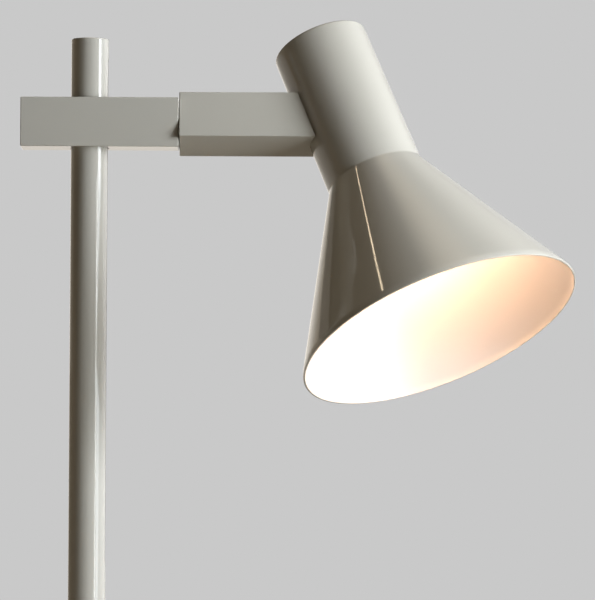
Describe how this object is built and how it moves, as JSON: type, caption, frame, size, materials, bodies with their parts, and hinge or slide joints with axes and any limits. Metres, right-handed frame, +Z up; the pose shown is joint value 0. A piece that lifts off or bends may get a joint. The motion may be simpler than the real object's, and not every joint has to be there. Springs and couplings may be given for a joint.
{
  "type": "desk lamp",
  "caption": "Desk lamp: a weighted round base, a turning pole, a square arm block that slides on it and a rolling head with a conical spun shade.",
  "frame": {"origin": "on the pole's axis, at the underside of the felt pad, level with the table", "axes": "+Z up along the pole, +X along the arm towards the shade, +Y to the lamp's rear, where the cable enters the base"},
  "size_m": [0.4036, 0.2412, 0.5124],
  "materials": {
    "lacquer": "gloss",
    "shade_lacquer": "gloss",
    "cast_weight": "matte",
    "felt": "matte",
    "black_rubber": "matte",
    "nylon": "satin",
    "plain_steel": "satin",
    "cast_aluminium": "matte",
    "brass": "satin",
    "black_cable": "satin",
    "holder_plastic": "satin",
    "porcelain": "gloss",
    "bulb_black": "gloss",
    "bulb_opal": "satin"
  },
  "bodies": {
    "base": {"base_pad": "felt", "base_weight": "cast_weight", "base_cover": "lacquer", "cable_bush": "black_rubber", "foot_washer": "nylon", "base_stop_pin": "plain_steel"},
    "pole": {"pole_foot": "plain_steel", "pole_tube": "lacquer", "pole_cap": "lacquer", "base_spring_washer": "plain_steel", "base_nut": "plain_steel"},
    "arm": {"block_tube": "lacquer", "block_cap": "lacquer", "pole_guide": "nylon", "friction_shoe": "black_rubber", "shoe_spring": "plain_steel", "shoe_adjuster": "brass", "block_plug": "cast_aluminium", "block_screws": "plain_steel", "arm_lead": "black_cable"},
    "head": {"head_tube": "lacquer", "tube_plug": "cast_aluminium", "swivel_spindle": "brass", "friction_disc": "nylon", "roll_stop_pin": "plain_steel", "thrust_washer": "plain_steel", "cone_washers": "plain_steel", "spindle_nuts": "brass", "head_screws": "plain_steel", "neck_saddle": "cast_aluminium", "saddle_screws": "plain_steel", "shade": "shade_lacquer", "holder_bracket": "plain_steel", "holder_body": "holder_plastic", "holder_insert": "porcelain", "holder_shell": "brass", "holder_nipple": "brass", "nipple_nut": "brass", "head_lead": "black_cable", "bulb_cap": "plain_steel", "bulb_contact": "bulb_black", "bulb_glass": "bulb_opal"}
  },
  "joints": [
    {"name": "pole_turn", "type": "hinge", "parent": "base", "child": "pole", "pos_m": [0, 0, 0.018], "axis": [0, 0, 1], "range_deg": [-150, 150]},
    {"name": "arm_lift", "type": "slide", "parent": "pole", "child": "arm", "axis": [0, 0, 1], "range_m": [-0.25, 0.022]},
    {"name": "head_roll", "type": "hinge", "parent": "arm", "child": "head", "pos_m": [0.055, 0, 0.4485], "axis": [1, 0, 0], "range_deg": [-69.5, 110.5]}
  ]
}
